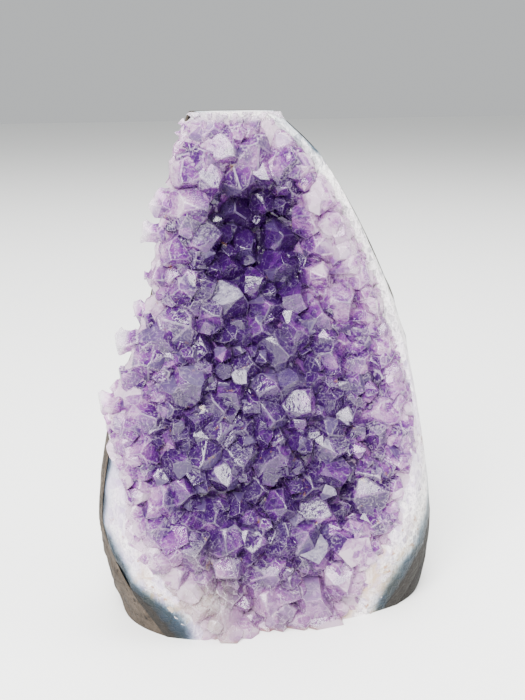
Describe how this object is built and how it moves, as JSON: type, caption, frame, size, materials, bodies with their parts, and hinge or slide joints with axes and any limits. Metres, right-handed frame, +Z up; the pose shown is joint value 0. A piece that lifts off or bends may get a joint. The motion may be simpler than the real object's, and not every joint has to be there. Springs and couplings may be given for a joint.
{
  "type": "amethyst cluster",
  "caption": "Free-standing slice of amethyst geode, sawn flat underneath, with violet quartz crystals in a hollow front and pale ground rims.",
  "frame": {"origin": "middle of the part's outline on the surface that it stands on", "axes": "+Z up, +X to the right as seen from the crystal side, crystals face -Y"},
  "size_m": [0.1062, 0.0636, 0.15],
  "materials": {
    "basalt": "rough natural host rock, brown-grey, with a darker agate edge",
    "pale_quartz": "ground and polished white quartz with blue-grey agate banding",
    "amethyst": "glassy natural crystal faces, pale lilac at the rims and deep violet in the hollow"
  },
  "bodies": {
    "root": {"basalt_rind": "basalt", "quartz_wall": "pale_quartz", "amethyst_crust": "amethyst"}
  },
  "joints": []
}
